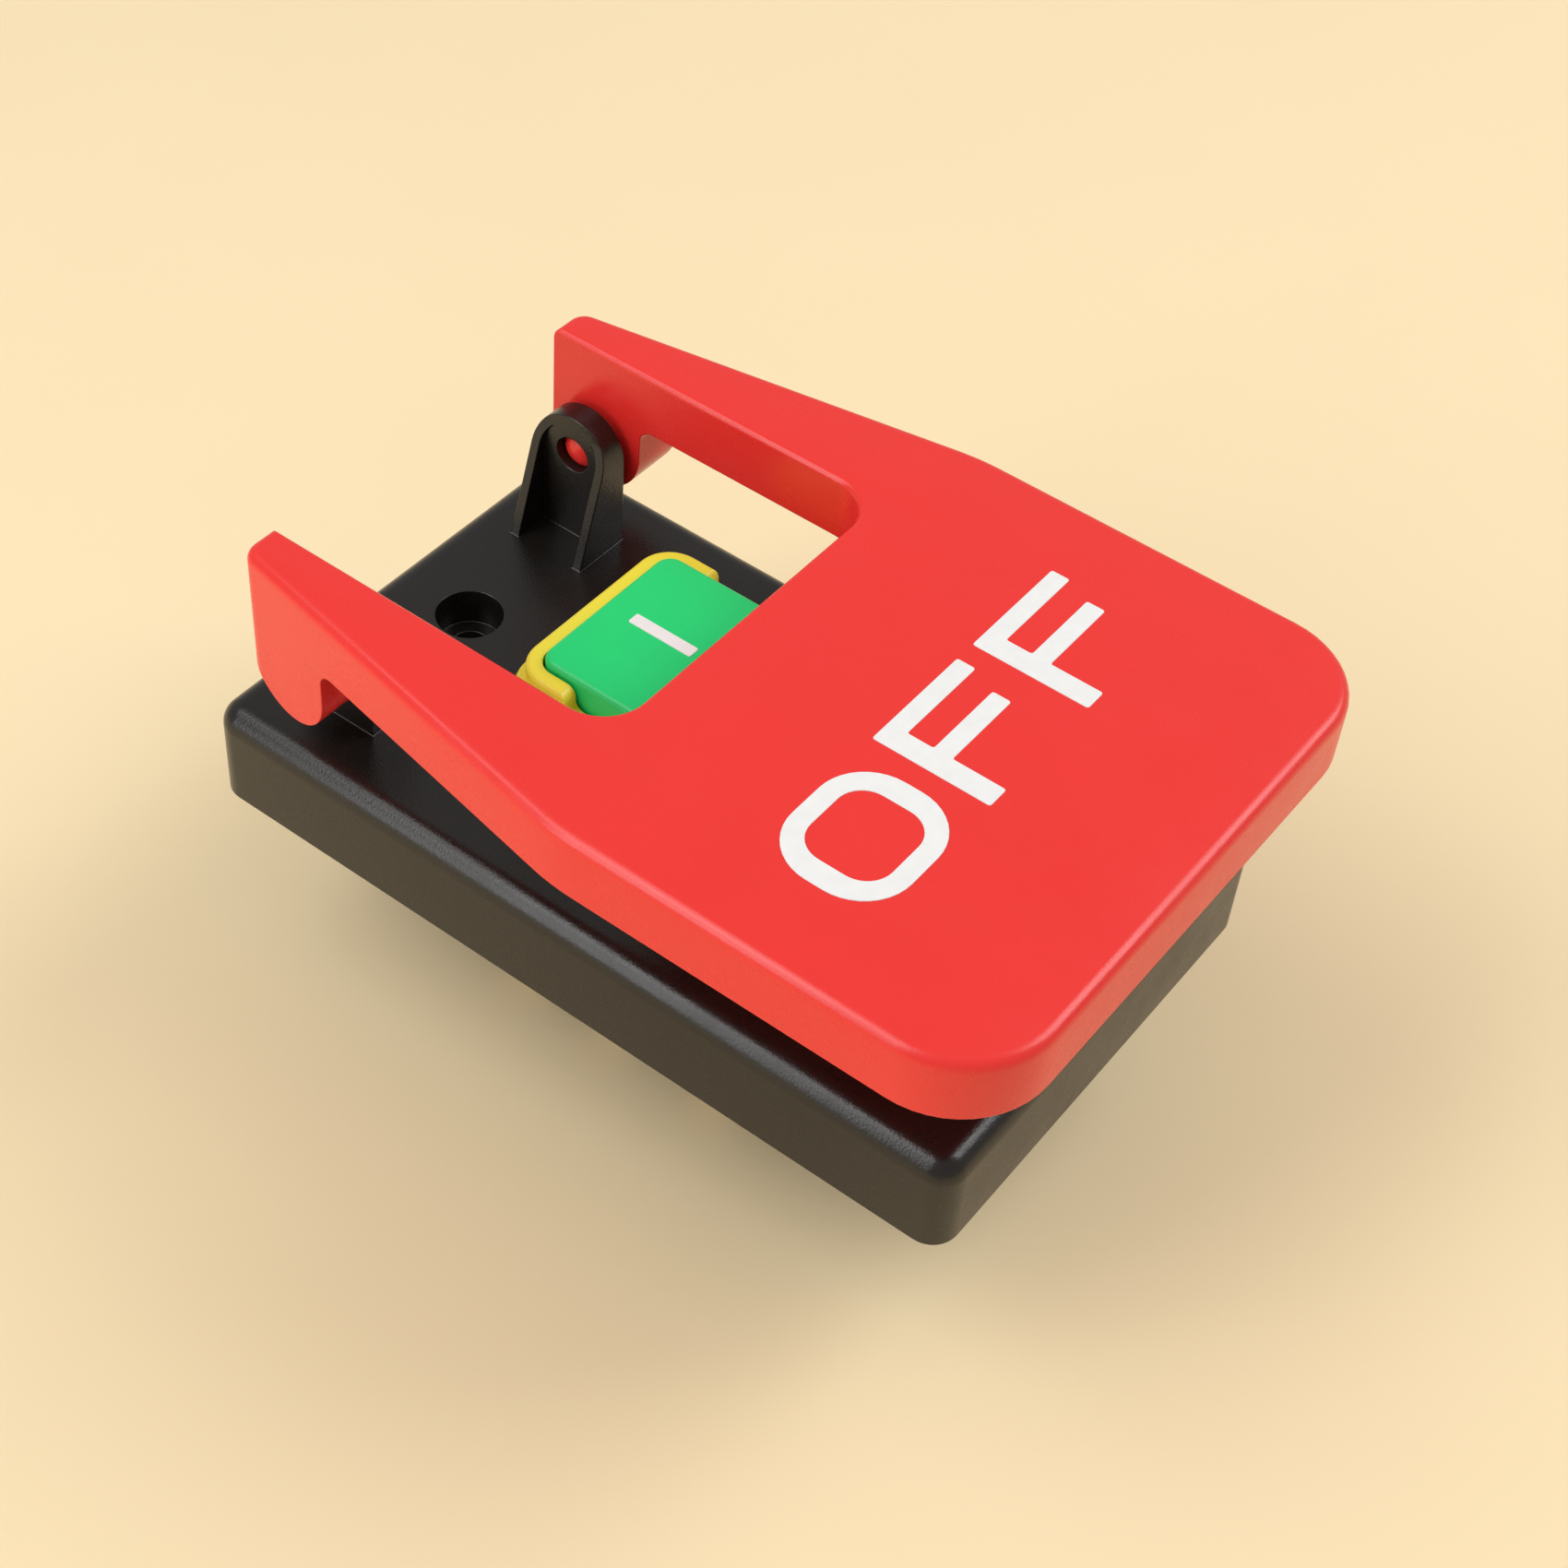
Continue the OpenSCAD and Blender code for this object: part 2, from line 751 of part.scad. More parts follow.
module terminal_base() {
    color("#3a3a3c")
        difference() {
            union() {
                upright(rear_z, cover_z)
                    rounded_rect(case_w, case_l, case_wall);
                for (y = barrier_places)
                    bar(-case_w / 2 + case_wall, case_w / 2 - case_wall, y - barrier_t / 2, y + barrier_t / 2,
                        rear_z - barrier_h, rear_z + slack / 2);
            }
            for (p = tab_places)
                bar(p[0] * (leg_x + terminal_t / 2) - terminal_t / 2 - tab_fit,
                    p[0] * (leg_x + terminal_t / 2) + terminal_t / 2 + tab_fit,
                    p[1] - tab_w / 2 - tab_fit, p[1] + tab_w / 2 + tab_fit, rear_z - slack, cover_z + slack);
            both_sides()
                both_ends()
                    translate([cover_screw_x, cover_screw_y, rear_z - slack])
                        cylinder(d = thread_d + 4 * thread_fit, h = cover_t + 2 * slack);
        }
}

// A pan-head screw pointing up, with its head under height z
module screw(x, y, z, shank) {
    translate([x, y, z - head_h]) {
        difference() {
            rotate_extrude()
                domed_section(head_d, head_h, head_dome_r);
            translate([0, 0, -slack])
                cylinder(d = socket_d, h = head_h / 2 + slack, $fn = 6);
        }
        translate([0, 0, head_h * 3 / 4])
            cylinder(d = thread_d, h = head_h / 4 + shank);
    }
}

module case_screws() {
    color("silver")
        both_sides()
            both_ends()
                screw(case_screw_x, ear_y, flange_low, ear_t + flange_drop - head_h / 2);
}

module cover_screws() {
    color("silver")
        both_sides()
            both_ends()
                screw(cover_screw_x, cover_screw_y, rear_z, core_h - head_h - 2 * cover_t);
}

// A terminal strip: a shelf for the contact tip, a leg down the case wall and a tab outside
module terminal(y, shelf_top, reach) {
    bar(reach - contact_d / 2 - terminal_t / 2, inner_w / 2, y - tab_w / 2, y + tab_w / 2,
        shelf_top - terminal_t, shelf_top);
    difference() {
        bar(leg_x, inner_w / 2, y - tab_w / 2, y + tab_w / 2, rear_z - tab_l, shelf_top);
        along_x(leg_x - slack, inner_w / 2 + slack)
            for (s = [-1, 1])
                translate([y + s * tab_w / 2, rear_z - tab_l])
                    circle(terminal_t, $fn = 4);
        along_x(leg_x - slack, inner_w / 2 + slack)
            translate([y, rear_z - tab_l / 2])
                circle(d = tab_w / 3);
    }
}

module line_terminals() {
    color("goldenrod")
        both_sides()
            terminal(start_y - tip_pitch / 2, shelf_z, bridge_x);
}

module load_terminals() {
    color("goldenrod")
        both_sides()
            terminal(start_y + tip_pitch / 2, shelf_z, bridge_x);
}

module stop_terminals() {
    color("goldenrod")
        both_sides()
            terminal(stop_y, stop_strip_z + terminal_t, stop_tip_x);
}

module contact_tip(x, y, z) {
    translate([x, y, z])
        cylinder(d = contact_d, h = contact_h);
}

module fixed_tips() {
    color("lightgray")
        both_sides() {
            for (s = [-1, 1])
                contact_tip(bridge_x, start_y + s * tip_pitch / 2, shelf_z);
            contact_tip(stop_tip_x, stop_y, stop_fixed_z);
        }
}

module moving_tips() {
    color("lightgray")
        both_sides()
            for (s = [-1, 1])
                contact_tip(bridge_x, start_y + s * tip_pitch / 2, tip_z);
}

module stop_tips() {
    color("lightgray")
        both_sides()
            contact_tip(stop_tip_x, stop_y, shoulder_z);
}

// Front view of the E-shaped core
module core_profile() {
    translate([-core_x, cover_z])
        square([2 * core_x, yoke_h]);
    for (x = [-core_x, -core_mid / 2, core_x - core_leg])
        translate([x, cover_z])
            square([x == -core_mid / 2 ? core_mid : core_leg, core_h]);
}

module magnet_core() {
    color("slategray")
        along_y(start_y - core_l / 2, start_y + core_l / 2)
            core_profile();
}

module coil_bobbin() {
    flange_x = bobbin_x + bobbin_wall + winding_t;
    flange_y = bobbin_y + bobbin_wall + winding_t;
    color("ivory")
        translate([0, start_y, 0])
            difference() {
                union() {
                    upright(bobbin_low, bobbin_top)
                        rounded_rect(2 * (bobbin_x + bobbin_wall), 2 * (bobbin_y + bobbin_wall), bobbin_wall);
                    for (z = [bobbin_low, bobbin_top - bobbin_wall])
                        upright(z, z + bobbin_wall)
                            rounded_rect(2 * flange_x, 2 * flange_y, bobbin_wall);
                }
                bar(-bobbin_x, bobbin_x, -bobbin_y, bobbin_y, bobbin_low - slack, bobbin_top + slack);
            }
}

module coil_winding() {
    inner_x = bobbin_x + bobbin_wall;
    inner_y = bobbin_y + bobbin_wall;
    depth = winding_t - bobbin_gap;
    color("#b5651d")
        translate([0, start_y, 0])
            difference() {
                upright(bobbin_low + bobbin_wall, bobbin_top - bobbin_wall)
                    rounded_rect(2 * (inner_x + depth), 2 * (inner_y + depth), depth);
                upright(bobbin_low, bobbin_top)
                    rounded_rect(2 * inner_x, 2 * inner_y, bobbin_wall);
            }
}

module contact_carrier() {
    half_x = inner_w / 2 - carrier_gap;
    groove_x = inner_w / 2 - rail_h - carrier_gap;
    wing_y = carrier_l / 2 + 2 * wing_x;
    color("dimgray")
        translate([0, start_y, 0])
            difference() {
                union() {
                    bar(-half_x, half_x, -carrier_l / 2, carrier_l / 2, carrier_low, carrier_z);
                    bar(-wing_x, wing_x, -wing_y, wing_y, carrier_low, carrier_low + carrier_h / 2);
                }
                both_sides() {
                    bar(groove_x, half_x + slack, -rail_w / 2 - carrier_gap, rail_w / 2 + carrier_gap,
                        carrier_low - slack, carrier_z + slack);
                    bar(bridge_x - bridge_w / 2, bridge_x + bridge_w / 2, -carrier_l, carrier_l,
                        bridge_z, bridge_top_z);
                }
            }
}

module moving_bridges() {
    color("#c98a3c")
        both_sides()
            translate([bridge_x, start_y, 0])
                upright(bridge_z, bridge_z + bridge_t)
                    rounded_rect(bridge_w, bridge_l, bridge_w / 4);
}

module contact_springs() {
    color("silver")
        both_sides()
            translate([bridge_x, start_y, 0])
                coil_spring(contact_spring_r, contact_wire, bridge_z + bridge_t, bridge_top_z,
                    contact_turns, 5, 12);
}

module armature() {
    color("slategray")
        translate([0, start_y, 0])
            bar(-core_x, core_x, -core_l / 2, core_l / 2, armature_z, carrier_low);
}

module carrier_springs() {
    place = carrier_l / 2 + wing_x;
    color("silver")
        for (s = [-1, 1])
            translate([0, start_y + s * place, 0])
                coil_spring(carrier_spring_r, carrier_wire, bobbin_top, carrier_low, carrier_turns, 6, 12);
}

module stop_bridge() {
    color("#c98a3c")
        translate([0, stop_y, 0])
            difference() {
                upright(stop_bridge_z, shoulder_z)
                    rounded_rect(2 * stop_tip_x + contact_d, bridge_w + neck_d / 2, bridge_w / 4);
                translate([0, 0, stop_bridge_z - slack])
                    cylinder(d = neck_d + 2 * stem_fit, h = bridge_t + 2 * slack);
            }
}

module stop_clip() {
    color("silver")
        translate([0, stop_y, stop_bridge_z - clip_t])
            difference() {
                cylinder(d = neck_d * 2, h = clip_t);
                translate([0, 0, -slack])
                    cylinder(d = neck_d + stem_fit, h = clip_t + 2 * slack);
            }
}

// Points along an arc round a centre, from one angle to another
function arc(centre, r, from, to, steps) = [
    for (i = [0:steps])
        let (a = from + (to - from) * i / steps)
            centre + r * [cos(a), sin(a)]
];

// Right half of the paddle's outline, from the free end to the arm's tip, moved in by inset
function half_outline(inset) = concat(
    arc([paddle_w / 2 - paddle_corner, side_y], paddle_corner - inset, -90, 0, corner_steps),
    arc([bend_x, bend_y], bend_r - inset, 0, arm_turn, bend_steps),
    arc([tip_x, tip_y - tip_corner], tip_corner - inset, arm_turn, 90, tip_steps)
);

// The whole outline, anticlockwise
function outline(inset) =
    let (half = half_outline(inset), last = len(half) - 1)
        concat(half, [for (i = [last:-1:0]) [-half[i][0], half[i][1]]]);

// Plan of the paddle without its window, moved in from its edge by inset
module paddle_plan(inset) {
    polygon(outline(inset));
}

// Outer skin of the paddle: the outline carried up and drawn in round the top edge
module paddle_skin() {
    levels = concat([[0, skirt_z]], [
        for (k = [0:edge_steps])
            let (a = 90 * k / edge_steps)
                [paddle_edge * (1 - cos(a)), paddle_z - paddle_edge + paddle_edge * sin(a)]
    ]);
    count = len(outline(0));
    rings = len(levels);
    points = [for (l = levels) for (p = outline(l[0])) [p[0], p[1], l[1]]];
    walls = [
        for (l = [0:rings - 2], i = [0:count - 1])
            let (n = (i + 1) % count)
                [l * count + i, (l + 1) * count + i, (l + 1) * count + n, l * count + n]
    ];
    floor_face = [for (i = [0:count - 1]) i];
    top_face = [for (i = [count - 1:-1:0]) (rings - 1) * count + i];
    polyhedron(points, concat(walls, [floor_face, top_face]), convexity = 4);
}

// Plan of the finger window, widened by grow
module window_plan(grow) {
    half = window_w / 2 + grow;
    r = window_corner + grow;
    low = window_y - grow;
    far = lobe_r + window_reach + 2 * grow + slack;
    translate([-half, low + r])
        square([2 * half, far]);
    translate([-half + r, low])
        square([2 * half - 2 * r, far]);
    for (s = [-1, 1])
        translate([s * (half - r), low + r])
            circle(r);
}

// What the rounding takes off the window's top edge
module window_edge_waste() {
    translate([0, 0, paddle_z]) {
        both_sides() {
            along_y(window_y + window_corner, tip_y + slack)
                translate([window_w / 2, 0])
                    mirror([1, 0])
                        edge_waste(window_edge);
            translate([window_w / 2 - window_corner, window_y + window_corner, 0])
                rotate([0, 0, -90])
                    rotate_extrude(angle = 90)
                        translate([window_corner, 0])
                            mirror([1, 0])
                                edge_waste(window_edge);
        }
        along_x(window_corner - window_w / 2, window_w / 2 - window_corner)
            translate([window_y, 0])
                edge_waste(window_edge);
    }
}

// Ribs under the paddle and the presser over the stop button
module paddle_ribs() {
    rib_z = plate_z - paddle_rib_depth;
    nose_z = stop_z + presser_gap + presser_r;
    intersection() {
        union() {
            for (x = [-paddle_rib_x, paddle_rib_x])
                bar(x - rib_t / 2, x + rib_t / 2, end_y, window_y, rib_z, plate_z + slack);
            bar(-paddle_w, paddle_w, stop_y - rib_t / 2, stop_y + rib_t / 2, rib_z, plate_z + slack);
            bar(-paddle_w, paddle_w, side_y - rib_t / 2, side_y + rib_t / 2, rib_z, plate_z + slack);
        }
        upright(rib_z, plate_z + slack)
            difference() {
                paddle_plan(paddle_wall / 2);
                window_plan(paddle_wall / 2);
            }
    }
    along_x(-presser_w / 2, presser_w / 2) {
        translate([stop_y, nose_z])
            circle(presser_r);
        translate([stop_y - presser_r, nose_z])
            square([2 * presser_r, plate_z - nose_z + slack]);
    }
}

// A hinge lobe under an arm, with a fillet up to the skirt
module hinge_lobe() {
    flank = hinge_y - lobe_r - lobe_fillet;
    intersection() {
        upright(hinge_z - lobe_r - slack, skirt_z + slack)
            paddle_plan(0);
        along_x(window_w / 2, paddle_w) {
            hinge_tongue(lobe_r, skirt_z + slack);
            difference() {
                translate([flank, skirt_z - lobe_fillet])
                    square([lobe_fillet + slack, lobe_fillet + slack]);
                translate([flank, skirt_z - lobe_fillet])
                    circle(lobe_fillet);
            }
        }
    }
}

// A stub axle and its boss on an arm's inner face, which snaps into a lug
module stub_axle() {
    start = web_x + axle_recess;
    length = window_w / 2 - start;
    translate([start, hinge_y, hinge_z])
        rotate([0, 90, 0])
            rotate_extrude() {
                domed_section(axle_d, length + slack, axle_dome_r);
                translate([0, length - boss_h])
                    square([boss_d / 2, boss_h + slack]);
            }
}

module paddle() {
    hollow_end = hinge_y - lobe_r - lobe_fillet;
    color("#f04440") {
        difference() {
            paddle_skin();
            upright(skirt_z - slack, paddle_z + slack)
                window_plan(0);
            upright(skirt_z - slack, plate_z)
                difference() {
                    paddle_plan(paddle_wall);
                    window_plan(paddle_wall);
                    translate([-paddle_w, hollow_end])
                        square(2 * paddle_w);
                }
            window_edge_waste();
        }
        both_sides() {
            hinge_lobe();
            stub_axle();
        }
        paddle_ribs();
    }
}

front_housing();
button_surround();
switch_case();
terminal_base();
case_screws();
cover_screws();
line_terminals();
load_terminals();
stop_terminals();
fixed_tips();
magnet_core();
coil_bobbin();
coil_winding();
start_button();
start_spring();
stop_button();
stop_spring();
stop_bridge();
stop_tips();
stop_clip();
contact_carrier();
moving_bridges();
moving_tips();
contact_springs();
armature();
carrier_springs();
paddle();
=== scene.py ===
"""Looks of the emergency stop switch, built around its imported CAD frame."""

import json
from math import cos, pi, radians, sin

import bmesh
import bpy
from mathutils import Matrix, Vector


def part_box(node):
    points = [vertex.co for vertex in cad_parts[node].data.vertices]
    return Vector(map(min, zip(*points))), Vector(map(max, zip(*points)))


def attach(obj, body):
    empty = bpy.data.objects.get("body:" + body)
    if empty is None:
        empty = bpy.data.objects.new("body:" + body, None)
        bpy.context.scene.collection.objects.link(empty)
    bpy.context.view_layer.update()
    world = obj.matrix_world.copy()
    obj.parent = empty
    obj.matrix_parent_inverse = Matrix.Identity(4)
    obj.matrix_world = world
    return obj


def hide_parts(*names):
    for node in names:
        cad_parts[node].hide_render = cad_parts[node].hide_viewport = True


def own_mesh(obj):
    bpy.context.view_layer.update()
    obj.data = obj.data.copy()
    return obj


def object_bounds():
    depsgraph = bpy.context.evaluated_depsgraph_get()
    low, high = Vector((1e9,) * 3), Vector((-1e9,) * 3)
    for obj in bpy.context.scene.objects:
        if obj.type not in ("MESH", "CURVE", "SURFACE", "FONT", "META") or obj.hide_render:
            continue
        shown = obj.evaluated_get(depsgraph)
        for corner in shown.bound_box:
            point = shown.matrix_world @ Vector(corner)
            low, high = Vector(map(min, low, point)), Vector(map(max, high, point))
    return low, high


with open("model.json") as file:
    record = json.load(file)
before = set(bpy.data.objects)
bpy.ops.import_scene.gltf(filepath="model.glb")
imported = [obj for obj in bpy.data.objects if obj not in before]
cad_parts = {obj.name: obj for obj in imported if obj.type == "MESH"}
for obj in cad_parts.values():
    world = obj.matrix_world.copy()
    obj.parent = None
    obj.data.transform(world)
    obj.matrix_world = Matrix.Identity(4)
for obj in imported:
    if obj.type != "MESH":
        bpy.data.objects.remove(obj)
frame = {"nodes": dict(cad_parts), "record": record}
cad_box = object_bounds()
nodes = frame["nodes"]

MM = 0.001

# How the photograph's camera stood, in pixels, millimetres and degrees
IMAGE_PX = 1700
FOCAL_PX = 3021.7
SENSOR_WIDTH = 36
CAMERA_AZIMUTH = -57.0
CAMERA_ELEVATION = 46.38
CAMERA_ROLL = 5.5
CAMERA_OFFSET = (-6.9, 7.65, 330.57)

# Soft lamps, aimed at the origin: name, place and size in metres, power in watts
LAMPS = (
    ("left_softbox", (-0.66, 0.3, 0.46), (0.34, 0.9), 3.0),
    ("back_softbox", (-0.3, 0.35, 0.75), (0.5, 0.5), 1.75),
    ("front_softbox", (0.5, -0.37, 0.63), (0.5, 0.5), 3.3),
)
ROOM_COLOUR = (1.0, 0.98, 0.95, 1)
ROOM_STRENGTH = 0.45

# Floor: half its side in metres, its two tones and the size of their blotches in millimetres
FLOOR_REACH = 4.0
FLOOR_TONES = ((0.94, 0.755, 0.465, 1), (0.97, 0.785, 0.49, 1))
FLOOR_BLOTCH = 60.0
FLOOR_ROUGHNESS = 0.7

# Plastics: colour, roughness, size and depth of the grain in millimetres, mottling, scuffs
PLASTICS = {
    "housing_black": ((0.0098, 0.0080, 0.0066), 0.27, 0.28, 0.03, 0.10, 0.25),
    "paddle_red": ((0.83, 0.030, 0.025), 0.27, 0.22, 0.012, 0.012, 0.0),
    "start_green": ((0.006, 0.66, 0.175), 0.38, 0.22, 0.01, 0.03, 0.0),
    "stop_red": ((0.66, 0.02, 0.016), 0.38, 0.22, 0.01, 0.03, 0.0),
    "surround_yellow": ((0.84, 0.72, 0.045), 0.38, 0.22, 0.01, 0.015, 0.0),
    "case_grey": ((0.045, 0.045, 0.048), 0.55, 0.3, 0.03, 0.1, 0.15),
    "carrier_plastic": ((0.14, 0.14, 0.15), 0.5, 0.3, 0.02, 0.06, 0.0),
    "bobbin_plastic": ((0.74, 0.70, 0.60), 0.5, 0.3, 0.02, 0.05, 0.0),
}

# Metals: colour, roughness, closeness of the drawn lines along x, y and z,
# their depth in millimetres, tarnish
METALS = {
    "spring_steel": ((0.62, 0.62, 0.64), 0.26, (1, 1, 4), 0.004, 0.15),
    "core_steel": ((0.42, 0.43, 0.45), 0.42, (1, 6, 1), 0.012, 0.3),
    "screw_steel": ((0.68, 0.68, 0.67), 0.3, (3, 3, 1), 0.006, 0.2),
    "terminal_brass": ((0.78, 0.57, 0.24), 0.34, (5, 5, 1), 0.008, 0.25),
    "contact_silver": ((0.83, 0.83, 0.80), 0.3, (1, 1, 1), 0.004, 0.15),
}
COPPER = (0.60, 0.24, 0.09)
COPPER_PITCH = 0.25
WHITE = (0.86, 0.86, 0.85)

# Patterns in the finishes: sizes in millimetres, and the noise values that they use
FLOW_SIZE = 14.0
HANDLED_SIZE = 9.0
SCUFF_SIZE = 1.1
DRAWN_LINE_SIZE = 0.5
TARNISH_SIZE = 3.0
PRINT_SIZE = 2.2
PRINT_GRAIN_SIZE = 0.25
PRINT_GRAIN_DEPTH = 0.008
USUAL_NOISE = (0.3, 0.7)
SCUFF_NOISE = (0.66, 0.76)
TARNISH_NOISE = (0.35, 0.75)
PRINT_NOISE = (0.3, 0.75)
SCUFF_LIGHT = 2.4
WAVE_PHASE = 20

# Rounded edges of the CAD nodes, in millimetres and degrees
EDGE_WIDTHS = {
    "front_housing": 0.15,
    "paddle": 0.18,
    "switch_case": 0.25,
    "terminal_base": 0.25,
    "button_surround": 0.2,
    "start_button": 0.2,
    "stop_button": 0.2,
    "contact_carrier": 0.2,
    "coil_winding": 0.0,
}
SMALL_PIECE_EDGE = 0.12
FULL_WIDTH_EDGES = ("front_housing", "paddle")
EDGE_ANGLE = 38
EDGE_SEGMENTS = 2
FLAT_ANGLE = 0.5
MERGE_DISTANCE = 0.0005

# Lettering, in millimetres and degrees
LETTER_TOP = -22.3
LETTER_HEIGHT = 14.9
LETTER_STEM = 3.0
LETTER_BAR = 2.4
LETTER_RISE = 0.12
LETTER_EASE = 0.35
LETTER_EDGE_ANGLE = 50
O_LEFT = -27.45
O_RIGHT = -10.15
O_CORNER = 6.4
O_INNER_CORNER = 3.4
O_CORNER_STEPS = 10
F_LEFTS = (-7.2, 11.4)
F_WIDTH = 15.7
F_MIDDLE_WIDTH = 14.0
F_MIDDLE_DROP = 5.75
F_CORNER_STEPS = 4
MARK_SHIFT = (0.2, -0.3)
MARK_LENGTH = 8.9
MARK_WIDTH = 1.7
MARK_RISE = 0.1
MARK_CORNER_STEPS = 3

# Springs: piece, CAD node, body, joint that shortens it, mean radius and wire in millimetres,
# turns, and the axis along which a pair stands
SPRINGS = (
    ("start_coil", "start_spring", "housing", "start_press", 5.2, 0.8, 7, None),
    ("stop_coil", "stop_spring", "housing", "stop_press", 5.2, 0.8, 7, None),
    ("carrier_coils", "carrier_springs", "housing", "carrier_slide", 1.8, 0.45, 4, 1),
    ("contact_coils", "contact_springs", "carrier", None, 1.3, 0.35, 3, 0),
)
FLAT_TURN = 0.3
TURN_STEPS = 32
WIRE_SIDES = 12


class Wire:
    """A shader socket that takes part in Python arithmetic; each operator adds a Math node."""

    def __init__(self, tree, socket):
        self.tree = tree
        self.socket = socket

    def add(self, kind, settings=None, inputs=None, output=0):
        """Adds a node with its settings, sets or links its inputs, and returns one output."""
        node = self.tree.nodes.new(kind)
        for name, value in (settings or {}).items():
            setattr(node, name, value)
        for name, value in (inputs or {}).items():
            plug(self.tree, node.inputs[name], value)
        return Wire(self.tree, node.outputs[output])

    def math(self, operation, first, second):
        return self.add("ShaderNodeMath", {"operation": operation}, {0: first, 1: second})

    def __add__(self, other):
        return self.math("ADD", self, other)

    def __radd__(self, other):
        return self.math("ADD", other, self)

    def __sub__(self, other):
        return self.math("SUBTRACT", self, other)

    def __rsub__(self, other):
        return self.math("SUBTRACT", other, self)

    def __mul__(self, other):
        return self.math("MULTIPLY", self, other)

    def __rmul__(self, other):
        return self.math("MULTIPLY", other, self)

    def noise(self, size, detail=2.0, roughness=0.5, distortion=0.0):
        """Soft blotches of about that size in millimetres, between 0 and 1."""
        inputs = {
            "Vector": self, "Scale": 1 / (size * MM), "Detail": detail, "Roughness": roughness,
            "Distortion": distortion,
        }
        return self.add("ShaderNodeTexNoise", inputs=inputs)

    def band(self, low, high, start=0.0, end=1.0):
        """Stretches values between low and high to start and end, and holds them there outside."""
        inputs = {"Value": self, "From Min": low, "From Max": high, "To Min": start, "To Max": end}
        return self.add("ShaderNodeMapRange", inputs=inputs)

    def blend(self, first, second):
        """Mixes two colours by this value."""
        inputs = {"Factor": self, 6: first, 7: second}
        return self.add("ShaderNodeMix", {"data_type": "RGBA"}, inputs, output=2)

    def bump(self, depth):
        """A surface normal that rises and falls with this value, by that depth in millimetres."""
        inputs = {"Height": self, "Strength": 1.0, "Distance": depth * MM}
        return self.add("ShaderNodeBump", inputs=inputs)


def plug(tree, socket, value):
    """Links a wire to a socket, or sets the socket to a plain value."""
    if isinstance(value, Wire):
        tree.links.new(value.socket, socket)
    else:
        socket.default_value = value


def shade(colour, factor):
    """A colour with its light level changed by a factor, as four numbers."""
    return (*(min(1.0, c * factor) for c in colour), 1.0)


def new_finish(name):
    """A material, its shader and a wire that holds places on the object in metres."""
    material = bpy.data.materials.new(name)
    material.use_nodes = True
    tree = material.node_tree
    shader = tree.nodes["Principled BSDF"]
    places = tree.nodes.new("ShaderNodeTexCoord")
    return material, shader, Wire(tree, places.outputs["Object"])


def moulded_plastic(name, colour, roughness, grain, grain_depth, mottle, scuff):
    """Moulded plastic: fine grain, faint flow mottling, patches of handled gloss and scuffs."""
    material, shader, place = new_finish(name)
    flow = place.noise(FLOW_SIZE, detail=3.0, distortion=0.6)
    fine = place.noise(grain)
    handled = place.noise(HANDLED_SIZE, detail=4.0, roughness=0.6)
    tone = flow.band(*USUAL_NOISE).blend(shade(colour, 1 - mottle), shade(colour, 1 + mottle))
    if scuff:
        scuffs = place.noise(SCUFF_SIZE, detail=5.0, roughness=0.75)
        tone = scuffs.band(*SCUFF_NOISE, 0.0, scuff).blend(tone, shade(colour, SCUFF_LIGHT))
    plug(place.tree, shader.inputs["Base Color"], tone)
    gloss = handled.band(*USUAL_NOISE, roughness - 0.05, roughness + 0.05) + (fine - 0.5) * 0.08
    plug(place.tree, shader.inputs["Roughness"], gloss)
    plug(place.tree, shader.inputs["Normal"], fine.bump(grain_depth))
    return material


def brushed_metal(name, colour, roughness, closeness, depth, tarnish):
    """Metal with drawn lines and a little tarnish."""
    material, shader, place = new_finish(name)
    drawn = place.add("ShaderNodeMapping", inputs={"Vector": place, "Scale": closeness})
    lines = drawn.noise(DRAWN_LINE_SIZE, detail=3.0)
    cloud = place.noise(TARNISH_SIZE, detail=4.0, roughness=0.6)
    tone = cloud.band(*TARNISH_NOISE).blend(shade(colour, 1.0), shade(colour, 1 - tarnish))
    plug(place.tree, shader.inputs["Base Color"], tone)
    gloss = cloud.band(*USUAL_NOISE, roughness - 0.06, roughness + 0.08)
    plug(place.tree, shader.inputs["Roughness"], gloss)
    plug(place.tree, shader.inputs["Normal"], lines.bump(depth))
    shader.inputs["Metallic"].default_value = 1.0
    return material


def wound_wire(name, colour, pitch):
    """Enamelled wire wound in layers, one turn above the other, with painted shade in the grooves
    between turns and a painted highlight on their crowns.
    """
    material, shader, place = new_finish(name)
    settings = {"wave_type": "BANDS", "bands_direction": "Z", "wave_profile": "SIN"}
    scale = 2 * pi / (WAVE_PHASE * pitch * MM)
    inputs = {"Vector": place, "Scale": scale, "Distortion": 0.4, "Detail": 1.0}
    turns = place.add("ShaderNodeTexWave", settings, inputs, output=1)
    # Painted shade and highlight: the colour darkens into the grooves between turns and lightens
    # on their crowns, following the bump's height.
    tone = turns.blend(shade(colour, 0.55), shade(colour, 1.1))
    plug(place.tree, shader.inputs["Base Color"], tone)
    plug(place.tree, shader.inputs["Roughness"], turns.band(0, 1, 0.45, 0.28))
    plug(place.tree, shader.inputs["Normal"], turns.bump(pitch / 2))
    shader.inputs["Metallic"].default_value = 0.6
    shader.inputs["Coat Weight"].default_value = 0.5
    return material


def printed_white(name, colour):
    """White lettering with a faint unevenness."""
    material, shader, place = new_finish(name)
    cloud = place.noise(PRINT_SIZE, detail=4.0, roughness=0.6)
    tone = cloud.band(*PRINT_NOISE).blend(shade(colour, 1.0), shade(colour, 0.93))
    plug(place.tree, shader.inputs["Base Color"], tone)
    plug(place.tree, shader.inputs["Roughness"], cloud.band(*USUAL_NOISE, 0.38, 0.48))
    grain = place.noise(PRINT_GRAIN_SIZE)
    plug(place.tree, shader.inputs["Normal"], grain.bump(PRINT_GRAIN_DEPTH))
    return material


